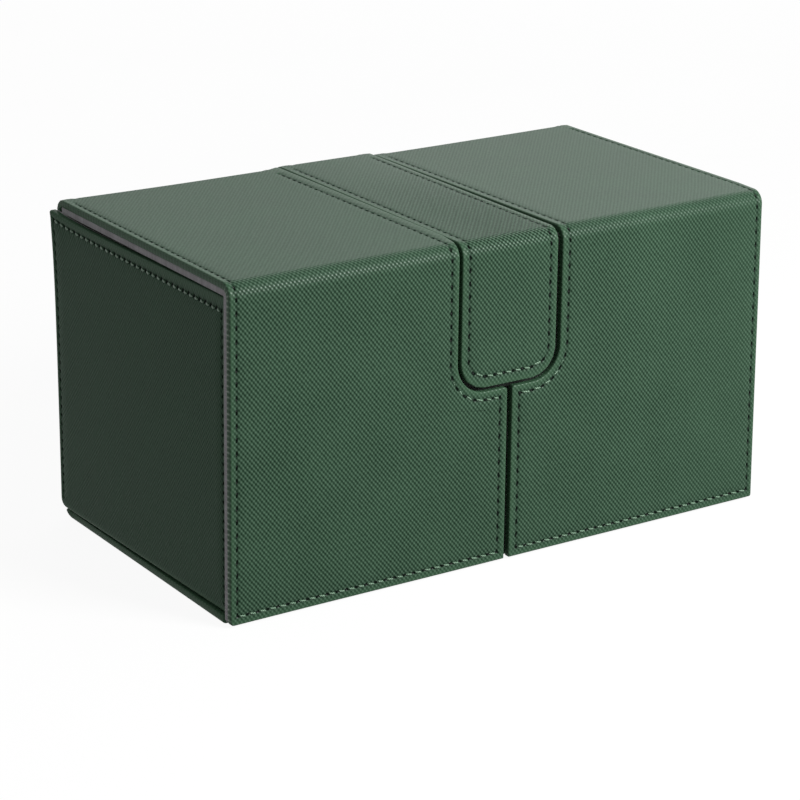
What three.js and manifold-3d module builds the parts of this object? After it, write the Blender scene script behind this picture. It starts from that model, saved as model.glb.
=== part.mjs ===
// Card storage box in leather-covered board. Two card wells lie under hinged covers, a strap with a
// tab closes between them, and a shallow drawer slides out of each end. Millimetres, +Z up, the
// front faces -Y, and the origin is on the table below the middle of the box.
import * as THREE from 'three';
import { mergeVertices } from 'three/addons/utils/BufferGeometryUtils.js';
import Module from 'manifold-3d';

const wasm = await Module();
wasm.setup();

// Driving dimensions
const boxLength = 196;
const boxDepth = 105.75;
const boxHeight = 103.5;
const coverBoard = 2.25;
const coverLining = 1.5;
const caseBoard = 2.5;
const wallBoard = 2;
const dividerBoard = 3;
const liningSheet = 0.625;
const runGap = 0.375;
const endRecess = 1.25;
const drawerHeight = 21.5;
const strapWidth = 35;
const strapCentre = -0.375;
const seamCentre = 0.25;

// Values of the covers: lids, front flaps, strap and tab
const cover = {
  rim: 0.75,
  liningRim: 0.25,
  innerBend: 0.75,
  foldGap: 1,
  seamGap: 1.75,
  strapGapLeft: 1.125,
  strapGapRight: 1.75,
  cutoutDrop: 47,
  tabGap: 1.25,
  tabCorner: 9,
  flapCorner: 1.5,
  floorGap: 0.5,
};

// Values of the leather hinges along the back
const backHinge = { innerBend: 2, thickness: 1.25, skirt: 2.25, seat: 0.5 };

// Values of the case
const shell = { innerBend: 2, wallDrop: 0.5, shelfBoard: 2 };

// Values of the drawers
const drawer = {
  faceBoard: 2.25,
  faceLining: 0.75,
  faceCorner: 1.25,
  faceTopGap: 1,
  faceBackGap: 0.25,
  floorBoard: 1.5,
  wallBoard: 2,
};

// Values of the hidden magnets and of the steel plates that they hold on to
const magnet = { radius: 5, thickness: 1, pocketGap: 0.5, pocketDepth: 1.5, seat: 0.25 };
const magnetPlace = { flapRise: 36, flapInset: 22, tabRise: 13, drawerRise: 62 };
const plate = { height: 12, reach: 8, thickness: 0.75, pocketGap: 0.375, pocketDepth: 1.25, seat: 0.25 };
const cutOverrun = 1;

// How many straight steps stand for each kind of curve
const bendSegments = 8;
const cornerSegments = 6;
const discSegments = 24;
const rimSegments = 2;

// Planes that several pieces share
const half = { x: boxLength / 2, y: boxDepth / 2, divider: dividerBoard / 2 };
const coverThickness = coverBoard + coverLining;
const lidUnder = boxHeight - coverThickness;
const boardUnder = boxHeight - coverBoard;
const flapInner = -half.y + coverThickness;
const boardInner = -half.y + coverBoard;
const wallTop = lidUnder - shell.wallDrop;
const wallFront = flapInner + runGap;
const wallBack = half.y - caseBoard;
const wellFront = wallFront + wallBoard;
const wellBack = wallBack - wallBoard;
const faceOuter = half.x - endRecess;
const faceBoardInner = faceOuter - drawer.faceBoard;
const faceInner = faceBoardInner - drawer.faceLining;
const wallEnd = faceInner - runGap;
const wellEnd = wallEnd - wallBoard;
const drawerUnder = caseBoard + runGap;
const drawerTop = drawerUnder + drawerHeight;
const shelfUnder = drawerTop + runGap;
const shelfTop = shelfUnder + shell.shelfBoard;
const baseBend = caseBoard + shell.innerBend;
const frontBend = coverThickness + cover.innerBend;
const backBend = backHinge.thickness + backHinge.innerBend;
const lidFront = -half.y + frontBend;
const lidBack = half.y - backBend;
const flapTop = boxHeight - frontBend - cover.foldGap;
const hingeFoot = boxHeight - backBend - backHinge.skirt;
const backTop = hingeFoot - backHinge.seat;
const strapX = [strapCentre - strapWidth / 2, strapCentre + strapWidth / 2];
const cutoutX = [strapX[0] - cover.strapGapLeft, strapX[1] + cover.strapGapRight];
const seamX = [seamCentre - cover.seamGap / 2, seamCentre + cover.seamGap / 2];
const cutoutFoot = boxHeight - cover.cutoutDrop;
const tabFoot = cutoutFoot + cover.tabGap;
const quarter = Math.PI / 2;

// Colour, roughness and metalness of each finish
const finishes = {
  greenLeather: [0x46614b, 0.58, 0],
  greyLining: [0x676468, 0.9, 0],
  darkBoard: [0x2b322d, 0.75, 0],
  steel: [0xa9adb0, 0.35, 1],
};

const box = new THREE.Group();

function addPiece(name, geometry, finish, place = [0, 0, 0]) {
  const [color, roughness, metalness] = finishes[finish];
  const material = new THREE.MeshStandardMaterial({ color, roughness, metalness });
  const mesh = new THREE.Mesh(geometry, material);
  mesh.name = name;
  mesh.position.set(...place);
  box.add(mesh);
}

// A block that spans two limits along each axis, drawn from its lower corner.
function blockGeometry([x0, x1], [y0, y1], [z0, z1]) {
  const size = [x1 - x0, y1 - y0, z1 - z0];
  return new THREE.BoxGeometry(...size).translate(...size.map((side) => side / 2));
}

function addBoard(name, x, y, z, finish) {
  addPiece(name, blockGeometry(x, y, z), finish, [x[0], y[0], z[0]]);
}

function placedBlock(x, y, z) {
  return blockGeometry(x, y, z).translate(x[0], y[0], z[0]);
}

// Limits along X for one side of the box: side is -1 on the left and 1 on the right.
function onSide(side, inner, outer) {
  return side < 0 ? [-outer, -inner] : [inner, outer];
}

function sideName(side) {
  return side < 0 ? 'left' : 'right';
}

function extrudeOptions(thickness, rim) {
  return {
    depth: thickness - 2 * rim,
    bevelEnabled: rim > 0,
    bevelThickness: rim,
    bevelSize: rim,
    bevelOffset: -rim,
    bevelSegments: rimSegments,
    curveSegments: bendSegments,
  };
}

// An outline in Y and Z, carried along X between two limits, with rounded rims if rim is not zero.
function alongX(shape, [x0, x1], rim = 0) {
  const geometry = new THREE.ExtrudeGeometry(shape, extrudeOptions(x1 - x0, rim));
  const axes = [new THREE.Vector3(0, 1, 0), new THREE.Vector3(0, 0, 1), new THREE.Vector3(1, 0, 0)];
  return geometry.applyMatrix4(new THREE.Matrix4().makeBasis(...axes)).translate(x0 + rim, 0, 0);
}

// An outline in X and Z, carried along Y between two limits, with rounded rims if rim is not zero.
function alongY(shape, [y0, y1], rim = 0) {
  const geometry = new THREE.ExtrudeGeometry(shape, extrudeOptions(y1 - y0, rim));
  const axes = [new THREE.Vector3(1, 0, 0), new THREE.Vector3(0, 0, 1), new THREE.Vector3(0, -1, 0)];
  return geometry.applyMatrix4(new THREE.Matrix4().makeBasis(...axes)).translate(0, y1 - rim, 0);
}

function toSolid(geometry) {
  const bare = geometry.clone();
  bare.deleteAttribute('normal');
  bare.deleteAttribute('uv');
  const merged = mergeVertices(bare);
  const vertProperties = new Float32Array(merged.attributes.position.array);
  const triVerts = new Uint32Array(merged.index.array);
  return new wasm.Manifold(new wasm.Mesh({ numProp: 3, vertProperties, triVerts }));
}

function toGeometry(solid) {
  const mesh = solid.getMesh();
  const geometry = new THREE.BufferGeometry();
  geometry.setAttribute('position', new THREE.BufferAttribute(mesh.vertProperties, 3));
  geometry.setIndex(new THREE.BufferAttribute(mesh.triVerts, 1));
  geometry.computeVertexNormals();
  return geometry;
}

function cut(body, cutters) {
  return toGeometry(cutters.reduce((rest, cutter) => rest.subtract(toSolid(cutter)), toSolid(body)));
}

// Discs between two limits along Y or X. A cylinder is drawn with its axis along Y.
function discAlongY(radius, x, [y0, y1], z) {
  const disc = new THREE.CylinderGeometry(radius, radius, y1 - y0, discSegments);
  return disc.translate(x, (y0 + y1) / 2, z);
}

function discAlongX(radius, [x0, x1], y, z) {
  const disc = new THREE.CylinderGeometry(radius, radius, x1 - x0, discSegments);
  return disc.rotateZ(quarter).translate((x0 + x1) / 2, y, z);
}

// An open-topped liner: a block less the space inside it.
function liner(x, y, z) {
  const inside = [x, y].map(([low, high]) => [low + liningSheet, high - liningSheet]);
  return cut(placedBlock(x, y, z), [placedBlock(...inside, [z[0] + liningSheet, z[1] + cutOverrun])]);
}

// The board's bend round the lower back edge is shared by the base panel and the back panel.
function makeWrap() {
  const centre = [half.y - baseBend, baseBend];
  const boardAngle = -Math.asin(shell.innerBend / baseBend);
  const base = new THREE.Shape();
  base.absarc(...centre, baseBend, -quarter, boardAngle, false);
  base.lineTo(wallFront, caseBoard);
  base.lineTo(wallFront, 0);
  addPiece('base_panel', alongX(base, [-faceOuter, faceOuter]), 'greenLeather');
  const back = new THREE.Shape();
  back.absarc(...centre, baseBend, boardAngle, 0, false);
  back.lineTo(half.y, backTop);
  back.lineTo(wallBack, backTop);
  back.lineTo(wallBack, caseBoard);
  addPiece('back_panel', alongX(back, [-wallEnd, wallEnd]), 'greenLeather');
}

// Steel plates behind the flap and tab magnets: limits along X, and the height of the middle.
function frontPlates() {
  const flapZ = cover.floorGap + magnetPlace.flapRise;
  const spans = [-1, 1].map((side) => {
    const ends = flapMagnetX(side);
    return [Math.min(...ends) - plate.reach, Math.max(...ends) + plate.reach];
  });
  return {
    left: [spans[0], flapZ],
    right: [spans[1], flapZ],
    tab: [[strapCentre - plate.reach, strapCentre + plate.reach], tabFoot + magnetPlace.tabRise],
  };
}

function flapMagnetX(side) {
  const seam = side < 0 ? seamX[0] : seamX[1];
  return [side * half.x - side * magnetPlace.flapInset, seam + side * magnetPlace.flapInset];
}

function spread([low, high], gap) {
  return [low - gap, high + gap];
}

function makeFrontWall() {
  const plates = Object.entries(frontPlates());
  const wall = placedBlock([-wallEnd, wallEnd], [wallFront, wellFront], [caseBoard, wallTop]);
  const pocketY = [wellFront - plate.pocketDepth, wellFront + cutOverrun];
  const plateFront = wellFront - plate.pocketDepth + plate.seat;
  const plateY = [plateFront, plateFront + plate.thickness];
  const pockets = plates.map(([, [x, z]]) => {
    const height = [z - plate.height / 2, z + plate.height / 2];
    return placedBlock(spread(x, plate.pocketGap), pocketY, spread(height, plate.pocketGap));
  });
  addPiece('front_wall', cut(wall, pockets), 'darkBoard');
  for (const [name, [x, z]] of plates) {
    addBoard(`${name}_catch_plate`, x, plateY, [z - plate.height / 2, z + plate.height / 2], 'steel');
  }
}

function makeInnerWalls() {
  addBoard('back_wall', [-wallEnd, wallEnd], [wellBack, wallBack], [caseBoard, wallTop], 'darkBoard');
  const depth = [wellFront, wellBack];
  addBoard('centre_divider', [-half.divider, half.divider], depth, [caseBoard, wallTop], 'darkBoard');
  for (const side of [-1, 1]) {
    const name = sideName(side);
    const shelf = onSide(side, half.divider, wallEnd);
    addBoard(`${name}_shelf`, shelf, depth, [shelfUnder, shelfTop], 'darkBoard');
    makeEndWall(side);
    const well = onSide(side, half.divider, wellEnd);
    addPiece(`${name}_well_lining`, liner(well, depth, [shelfTop, wallTop]), 'greyLining');
  }
}

// The wall between a card well and a drawer face, with the steel plate that the face's magnet holds on to.
function makeEndWall(side) {
  const name = sideName(side);
  const z = drawerUnder + magnetPlace.drawerRise;
  const height = [z - plate.height / 2, z + plate.height / 2];
  const reach = [-plate.reach, plate.reach];
  const pocketX = onSide(side, wellEnd - cutOverrun, wellEnd + plate.pocketDepth);
  const plateOuter = wellEnd + plate.pocketDepth - plate.seat;
  const plateX = onSide(side, plateOuter - plate.thickness, plateOuter);
  const wall = placedBlock(onSide(side, wellEnd, wallEnd), [wellFront, wellBack], [shelfTop, wallTop]);
  const pocket = placedBlock(pocketX, spread(reach, plate.pocketGap), spread(height, plate.pocketGap));
  addPiece(`${name}_end_wall`, cut(wall, [pocket]), 'darkBoard');
  addBoard(`${name}_drawer_catch`, plateX, reach, height, 'steel');
}

// A cover board's section: rounded along both upper edges.
function coverSection([x0, x1]) {
  const shape = new THREE.Shape();
  shape.moveTo(x0, boardUnder);
  shape.lineTo(x1, boardUnder);
  shape.absarc(x1 - cover.rim, boxHeight - cover.rim, cover.rim, 0, quarter, false);
  shape.absarc(x0 + cover.rim, boxHeight - cover.rim, cover.rim, quarter, 2 * quarter, false);
  return shape;
}

function frontBendSection() {
  const centre = [lidFront, boxHeight - frontBend];
  const shape = new THREE.Shape();
  shape.absarc(...centre, frontBend, quarter, 2 * quarter, false);
  shape.absarc(...centre, cover.innerBend, 2 * quarter, quarter, true);
  return shape;
}

function backBendSection() {
  const centre = [lidBack, boxHeight - backBend];
  const shape = new THREE.Shape();
  shape.absarc(...centre, backBend, quarter, 0, true);
  shape.lineTo(half.y, hingeFoot);
  shape.lineTo(half.y - backHinge.thickness, hingeFoot);
  shape.absarc(...centre, backHinge.innerBend, 0, quarter, false);
  return shape;
}

// The top of a cover: board, lining, the bend at the front and the leather hinge at the back.
function makeTop(name, x, hingeX) {
  const length = [lidFront, lidBack];
  addPiece(`${name}_panel`, alongY(coverSection(x), length), 'greenLeather');
  addBoard(`${name}_lining`, spread(x, -cover.liningRim), length, [lidUnder, boardUnder], 'greyLining');
  addPiece(`${name}_front_bend`, alongX(frontBendSection(), x), 'greenLeather');
  addPiece(`${name}_back_hinge`, alongX(backBendSection(), hingeX), 'greenLeather');
}

// A front flap's outline, drawn for the right side: square at the seam, with half of the tab's cut-out.
function flapOutline(side) {
  const seam = side < 0 ? -seamX[0] : seamX[1];
  const cutout = side < 0 ? -cutoutX[0] : cutoutX[1];
  const bend = cover.tabCorner + cover.tabGap;
  const foot = cover.floorGap;
  const shape = new THREE.Shape();
  shape.absarc(half.x - cover.flapCorner, foot + cover.flapCorner, cover.flapCorner, -quarter, 0, false);
  shape.lineTo(half.x, flapTop);
  shape.lineTo(cutout, flapTop);
  shape.absarc(cutout - bend, cutoutFoot + bend, bend, 0, -quarter, true);
  shape.lineTo(seam, cutoutFoot);
  shape.lineTo(seam, foot);
  const points = shape.getPoints(cornerSegments);
  return new THREE.Shape(points.map((point) => new THREE.Vector2(side * point.x, point.y)));
}

function tabOutline() {
  const corner = cover.tabCorner;
  const shape = new THREE.Shape();
  shape.moveTo(strapX[1], flapTop);
  shape.lineTo(strapX[0], flapTop);
  shape.absarc(strapX[0] + corner, tabFoot + corner, corner, -2 * quarter, -quarter, false);
  shape.absarc(strapX[1] - corner, tabFoot + corner, corner, -quarter, 0, false);
  return shape;
}

// The hanging part of a cover: board with pockets, lining, and magnets between them.
function makeFront(name, outline, magnetPoints) {
  const pocketY = [boardInner - magnet.pocketDepth, boardInner + cutOverrun];
  const discFront = boardInner - magnet.pocketDepth + magnet.seat;
  const discY = [discFront, discFront + magnet.thickness];
  const board = alongY(outline, [-half.y, boardInner], cover.rim);
  const pocketRadius = magnet.radius + magnet.pocketGap;
  const pockets = magnetPoints.map(([x, z]) => discAlongY(pocketRadius, x, pocketY, z));
  addPiece(`${name}_panel`, cut(board, pockets), 'greenLeather');
  addPiece(`${name}_lining`, alongY(outline, [boardInner, flapInner], cover.liningRim), 'greyLining');
  magnetPoints.forEach(([x, z], index) => {
    const suffix = magnetPoints.length > 1 ? `_${index + 1}` : '';
    addPiece(`${name}_magnet${suffix}`, discAlongY(magnet.radius, x, discY, z), 'steel');
  });
}

function makeCovers() {
  const flapZ = cover.floorGap + magnetPlace.flapRise;
  const lidX = { left: [-half.x, cutoutX[0]], right: [cutoutX[1], half.x] };
  makeTop('left_lid', lidX.left, [-wallEnd, cutoutX[0]]);
  makeTop('right_lid', lidX.right, [cutoutX[1], wallEnd]);
  makeTop('strap', strapX, strapX);
  for (const side of [-1, 1]) {
    const points = flapMagnetX(side).map((x) => [x, flapZ]);
    makeFront(`${sideName(side)}_flap`, flapOutline(side), points);
  }
  makeFront('tab', tabOutline(), [[strapCentre, tabFoot + magnetPlace.tabRise]]);
}

function faceOutline() {
  const [y0, y1] = [wallFront, half.y - drawer.faceBackGap];
  const [z0, z1] = [drawerUnder, lidUnder - drawer.faceTopGap];
  const corner = drawer.faceCorner;
  const shape = new THREE.Shape();
  shape.absarc(y0 + corner, z0 + corner, corner, -2 * quarter, -quarter, false);
  shape.absarc(y1 - corner, z0 + corner, corner, -quarter, 0, false);
  shape.absarc(y1 - corner, z1 - corner, corner, 0, quarter, false);
  shape.absarc(y0 + corner, z1 - corner, corner, quarter, 2 * quarter, false);
  return shape;
}

// A drawer's face: the whole end of the box, board outside and lining inside, with its magnet.
function makeDrawerFace(side) {
  const name = `${sideName(side)}_drawer`;
  const z = drawerUnder + magnetPlace.drawerRise;
  const pocketX = onSide(side, faceBoardInner - cutOverrun, faceBoardInner + magnet.pocketDepth);
  const discInner = faceBoardInner + magnet.pocketDepth - magnet.seat - magnet.thickness;
  const discX = onSide(side, discInner, discInner + magnet.thickness);
  const board = alongX(faceOutline(), onSide(side, faceBoardInner, faceOuter), cover.rim);
  const pocket = discAlongX(magnet.radius + magnet.pocketGap, pocketX, 0, z);
  addPiece(`${name}_face`, cut(board, [pocket]), 'greenLeather');
  const lining = alongX(faceOutline(), onSide(side, faceInner, faceBoardInner), cover.liningRim);
  addPiece(`${name}_face_lining`, lining, 'greyLining');
  addPiece(`${name}_magnet`, discAlongX(magnet.radius, discX, 0, z), 'steel');
}

// A drawer's tray: a floor, four walls and an open-topped lining.
function makeDrawerTray(side) {
  const name = `${sideName(side)}_drawer`;
  const inner = half.divider + runGap;
  const y = [wellFront + runGap, wellBack - runGap];
  const insideY = spread(y, -drawer.wallBoard);
  const floorTop = drawerUnder + drawer.floorBoard;
  const z = [floorTop, drawerTop];
  const x = onSide(side, inner, faceInner);
  const wallInner = inner + drawer.wallBoard;
  const wallOuter = faceInner - drawer.wallBoard;
  addBoard(`${name}_floor`, x, y, [drawerUnder, floorTop], 'darkBoard');
  addBoard(`${name}_front_wall`, x, [y[0], insideY[0]], z, 'darkBoard');
  addBoard(`${name}_back_wall`, x, [insideY[1], y[1]], z, 'darkBoard');
  addBoard(`${name}_inner_wall`, onSide(side, inner, wallInner), insideY, z, 'darkBoard');
  addBoard(`${name}_outer_wall`, onSide(side, wallOuter, faceInner), insideY, z, 'darkBoard');
  addPiece(`${name}_lining`, liner(onSide(side, wallInner, wallOuter), insideY, z), 'greyLining');
}

makeWrap();
makeFrontWall();
makeInnerWalls();
makeCovers();
for (const side of [-1, 1]) {
  makeDrawerFace(side);
  makeDrawerTray(side);
}

export default box;
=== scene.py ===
import math

import bmesh
import bpy
import numpy as np
from mathutils import Matrix, Vector


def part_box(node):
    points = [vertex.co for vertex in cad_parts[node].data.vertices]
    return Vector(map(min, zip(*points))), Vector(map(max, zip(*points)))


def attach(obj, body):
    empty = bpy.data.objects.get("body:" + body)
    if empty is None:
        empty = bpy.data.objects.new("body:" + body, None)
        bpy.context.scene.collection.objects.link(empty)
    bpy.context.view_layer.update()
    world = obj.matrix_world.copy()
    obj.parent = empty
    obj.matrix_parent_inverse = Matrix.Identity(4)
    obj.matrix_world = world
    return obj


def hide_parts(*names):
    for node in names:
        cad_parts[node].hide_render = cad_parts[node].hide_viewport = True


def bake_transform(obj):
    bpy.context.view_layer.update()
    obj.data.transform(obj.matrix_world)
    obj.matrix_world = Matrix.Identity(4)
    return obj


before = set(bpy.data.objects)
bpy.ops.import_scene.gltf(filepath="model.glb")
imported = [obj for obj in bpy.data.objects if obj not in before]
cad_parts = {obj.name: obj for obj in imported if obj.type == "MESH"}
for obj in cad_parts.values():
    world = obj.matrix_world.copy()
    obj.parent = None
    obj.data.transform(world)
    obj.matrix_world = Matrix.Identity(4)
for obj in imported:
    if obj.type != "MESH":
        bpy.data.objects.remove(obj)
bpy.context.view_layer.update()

metre = 0.001  # every length below is in millimetres
join = np.concatenate


def addObject(name, data):
    obj = bpy.data.objects.new(name, data)
    bpy.context.scene.collection.objects.link(obj)
    return obj


def cadBox(node):
    low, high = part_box(node)
    return np.array(low) / metre, np.array(high) / metre


# A bell is exp(-x squared).
def bell(x):
    return np.exp(-(x ** 2))


# The cover of the box follows one line in Y and Z: along the underside from the front, up the back, over
# the top and down the front. Only the wrap's bend is typed here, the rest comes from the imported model.
baseLow, baseHigh = cadBox("base_panel")
backLow, backHigh = cadBox("back_panel")
lidLow, lidHigh = cadBox("left_lid_panel")
lidLiningLow, _ = cadBox("left_lid_lining")
bendLow, bendHigh = cadBox("left_lid_front_bend")
hingeLow, hingeHigh = cadBox("left_lid_back_hinge")
flapLow, _ = cadBox("left_flap_panel")
rightLidLow, _ = cadBox("right_lid_panel")
tabLow, tabHigh = cadBox("tab_panel")
wrapBend = 4.5
frontBend = bendHigh[2] - bendLow[2]
backBend = hingeHigh[1] - hingeLow[1]
boardThickness = lidHigh[2] - lidLow[2]
liningThickness = lidLow[2] - lidLiningLow[2]
quarter = math.pi / 2
wholeTurn = 4 * quarter

trackLegs = [
    ("line", backHigh[1] - wrapBend - baseLow[1]),
    ("bend", wrapBend),
    ("line", lidHigh[2] - backBend - wrapBend),
    ("bend", backBend),
    ("line", lidHigh[1] - lidLow[1]),
    ("bend", frontBend),
    ("line", lidHigh[2] - frontBend),
]
legLengths = [size if kind == "line" else size * quarter for kind, size in trackLegs]
legStarts = join([[0], np.cumsum(legLengths)])
backStart, backBendStart, lidStart, lidEnd, flapStart = legStarts[2:7]


def trackAtBack(z):
    return backStart + z - wrapBend


def trackAtFront(z):
    return flapStart + lidHigh[2] - frontBend - z


# A point s along the line and h off it. Each leg adds its own clipped share of the way: a straight leg
# adds its length along the heading, and a bend of radius r adds r (sin a, 1 - cos a) for a = way / r.
def followTrack(s, h):
    y, z, turn = np.full(s.shape, baseLow[1]), np.zeros(s.shape), np.zeros(s.shape)
    heading = 0.0
    for index, (kind, size) in enumerate(trackLegs):
        low = -np.inf if index == 0 else 0.0
        high = np.inf if index == len(trackLegs) - 1 else legLengths[index]
        way = np.clip(s - legStarts[index], low, high)
        c, d = math.cos(heading), math.sin(heading)
        if kind == "line":
            y, z = y + way * c, z + way * d
        else:
            a = way / size
            forward, aside = size * np.sin(a), size * (1 - np.cos(a))
            y, z = y + forward * c - aside * d, z + forward * d + aside * c
            turn = turn + a
            heading += quarter
    return y + h * np.sin(turn), z - h * np.cos(turn)


# Hand-made board is never quite flat: a long sine across times one down, and a shorter sine that runs askew.
slack = {"height": 0.07, "long": 29.0, "short": 13.0, "shortShare": 0.5, "phases": (1.3, 0.7, 2.1)}


def slackHeight(x, s):
    across, down, askew = slack["phases"]
    long = np.sin(x / slack["long"] + across) * np.sin(s / slack["long"] + down)
    short = np.sin(x / slack["short"] + s / slack["long"] + askew)
    return slack["height"] * (long + slack["shortShare"] * short)


def placeOnTrack(points, heights):
    x, s = points[..., 0], points[..., 1]
    y, z = followTrack(s, heights + slackHeight(x, s))
    return np.stack([x, y, z], -1)


# Steps within one stitch lie close to the needle hole on both sides. Off the seam its map says farAway.
seam = {
    "margin": 2.7, "pitch": {"lid": 3.25, "across": 3.45, "down": 4.17, "face": 3.0},
    "coarse": [0, 0.12, 0.5, 0.88], "fine": [0, 0.12, 0.31, 0.5, 0.69, 0.88],
    "grooveDepth": 0.2, "grooveWidth": 0.5, "holeDepth": 0.22, "holeLength": 0.13, "farAway": 9.0,
}
cornerSteps = 4
smallestRadius = 0.12


def sewnEdge(count, fine=0, margin=None):
    starts = np.arange(count)[:, None]
    places = join([(starts[:fine] + seam["fine"]).ravel(), (starts[fine:] + seam["coarse"]).ravel()])
    return {"fractions": places / count, "stitches": count, "margin": margin}


def plainEdge(count):
    return {"fractions": np.arange(count) / count, "stitches": 0, "margin": None}


def makeStop(x, s, radius=None, edge=None, arc=None, main=False):
    return {"at": (x, s), "radius": radius, "edge": edge, "arc": arc, "main": main}


def mirrored(outline):
    edges = [stop["edge"] for stop in outline[-2::-1] + outline[-1:]]
    pairs = zip(outline[::-1], edges)
    return [{**stop, "at": (-stop["at"][0], stop["at"][1]), "edge": edge} for stop, edge in pairs]


def rectangle(x0, x1, s0, s1, sizes):
    across, along = (plainEdge(steps) for steps in sizes["steps"])
    radius = sizes["corner"]
    return [
        makeStop(x0, s0, radius, along, main=True), makeStop(x0, s1, radius, across, main=True),
        makeStop(x1, s1, radius, along, main=True), makeStop(x1, s0, radius, across, main=True)]


# Offsets of one edge: the seam may have a margin of its own, which the rim doesn't follow.
def edgeOffsets(edge, offsets, margin, rim):
    if edge["margin"] is None:
        return offsets
    share = np.clip((offsets - rim) / (margin - rim), 0, 1)
    return offsets + (edge["margin"] - margin) * share


# Walks round an outline of straight edges and rounded right angles, once for each offset d inwards. An
# edge moves in by d; a corner of radius r turns on a circle of radius r - d, or r + d where it is hollow.
def walkOutline(outline, offsets, margin, rim):
    offsets = np.asarray(offsets, float)[:, None]
    at = np.array([stop["at"] for stop in outline], float)
    along = np.roll(at, -1, 0) - at
    along /= np.linalg.norm(along, axis=1)[:, None]
    inward = np.stack([along[:, 1], -along[:, 0]], 1)
    insets = [edgeOffsets(stop["edge"], offsets, margin, rim) for stop in outline]

    def reach(k, inset):
        radius = outline[k]["radius"]
        if radius is None:
            return np.zeros_like(inset)
        hollow = inward[k] @ along[k - 1] > 0
        return np.full_like(inset, -radius) if hollow else np.maximum(radius, inset + smallestRadius)

    runs, stitch, sewn, mains, done = [], [], [], [], []

    def addRun(run, edge, isSewn):
        runs.append(run)
        stitch.append(sum(done) + edge["fractions"] * edge["stitches"])
        sewn.append(np.full(len(run), float(isSewn)))
        done.append(edge["stitches"])

    for k, stop in enumerate(outline):
        edge, after = stop["edge"], (k + 1) % len(outline)
        before, here = insets[k - 1], insets[k]
        start = at[k] + here * inward[k]
        if stop["radius"] is not None:
            arc = stop["arc"] or plainEdge(cornerSteps)
            angle = arc["fractions"][:, None, None] * quarter
            p, q = reach(k, before), reach(k, here)
            run = at[k] + p * inward[k - 1] + q * inward[k]
            run = run - (p - before) * np.cos(angle) * inward[k - 1] - (q - here) * np.sin(angle) * inward[k]
            if stop["main"]:
                mains.append(sum(map(len, runs)) + len(run) // 2)
            addRun(run, arc, min(outline[k - 1]["edge"]["stitches"], edge["stitches"]) > 0)
            start = start + p * inward[k - 1]
        end = at[after] + here * inward[k] + reach(after, insets[after]) * inward[after]
        addRun(start + (end - start) * edge["fractions"][:, None, None], edge, edge["stitches"] > 0)
    return join(runs), join(stitch), join(sewn), mains


# Samples of a section: how many go round each rim, and where they lie at the seam and under a belly
section = {
    "lowerSteps": 4, "upperSteps": 6, "overSteps": 7, "filletSteps": 5, "plainTop": 0.3,
    "seamTop": (-0.9, -0.5, -0.25, 0, 0.25, 0.5, 1.0), "rimRoom": 0.05, "reachRoom": 0.1,
    "under": (0.8, 0.6, 0.4), "bellyShare": 0.45, "swellAt": 0.7, "sharpAngle": 52,
}


# Section of a board wrapped in leather: from the underside out to the rim, round it, and in over the top.
# The rims are quarter circles, the belly is exp(-x to the fourth) and the swell beside the rim a bell.
def boardProfile(thickness, sizes, level=0.0, seamed=False):
    rim, lowerRim, reach, belly = sizes["rim"], sizes["lowerRim"], sizes["reach"], sizes.get("belly", 0.0)
    lower = np.linspace(0, quarter, section["lowerSteps"])
    upper = np.linspace(0, quarter, section["upperSteps"])
    flat = np.array([rim + section["plainTop"]])
    if seamed:
        flat = sizes.get("margin", seam["margin"]) + np.array(section["seamTop"])
    flat = flat[(flat > rim + section["rimRoom"]) & (flat < reach - section["reachRoom"])]
    inner = reach * np.array(section["under"]) if belly else []
    under = join([[reach], inner, lowerRim * (1 - np.sin(lower))])
    sag = belly * np.exp(-((under / (section["bellyShare"] * reach)) ** 4))
    rise = join([np.zeros(len(under) - len(lower)), lowerRim * (1 - np.cos(lower))])
    swell = sizes.get("swell", 0.0) * bell((flat - rim) / rim - section["swellAt"])
    d = join([under, rim * (1 - np.cos(upper)), flat, [reach]])
    h = join([rise - thickness - sag, rim * (np.sin(upper) - 1), swell, [0]])
    top = join([np.zeros(len(under)), np.ones(len(upper) + len(flat) + 1)])
    return d + sizes.get("start", 0.0), h + level, top, rim


# Section of an open-topped liner: under it, up outside, over the rim on a half circle, and down inside to
# the floor, with a quarter circle at its foot.
def linerProfile(height, sheet, fillet, reach):
    over = np.linspace(0, 2 * quarter, section["overSteps"])
    down = np.linspace(0, quarter, section["filletSteps"])
    half = sheet / 2
    d = join([[reach, 0], half * (1 - np.cos(over)), sheet + fillet * (1 - np.cos(down)), [reach]])
    h = join([[0, 0], height - half + half * np.sin(over), sheet + fillet * (1 - np.sin(down)), [sheet]])
    return d, h, np.ones(len(d)), sheet


def addMesh(name, points, faces, look, uvs, rimDistance=None, sharpAngle=section["sharpAngle"]):
    mesh = bpy.data.meshes.new(name)
    mesh.from_pydata(points.reshape(-1, 3) * metre, [], faces)
    corners = np.empty(len(mesh.loops), np.int32)
    mesh.loops.foreach_get("vertex_index", corners)
    for label, values in uvs.items():
        layer = mesh.uv_layers.new(name=label)
        layer.data.foreach_set("uv", values.reshape(-1, 2)[corners].astype(np.float32).ravel())
    if rimDistance is not None:
        mesh.attributes.new("rimDistance", "FLOAT", "POINT").data.foreach_set(
            "value", rimDistance.astype(np.float32).ravel())
    shell = bmesh.new()
    shell.from_mesh(mesh)
    bmesh.ops.recalc_face_normals(shell, faces=shell.faces)
    shell.to_mesh(mesh)
    shell.free()
    mesh.shade_smooth()
    mesh.set_sharp_from_angle(angle=math.radians(sharpAngle))
    mesh.materials.append(bpy.data.materials[look])
    return addObject(name, mesh)


def shareAlong(run):
    steps = np.linalg.norm(np.diff(run, axis=0), axis=1)
    return join([[0], np.cumsum(steps)]) / steps.sum()


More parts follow.
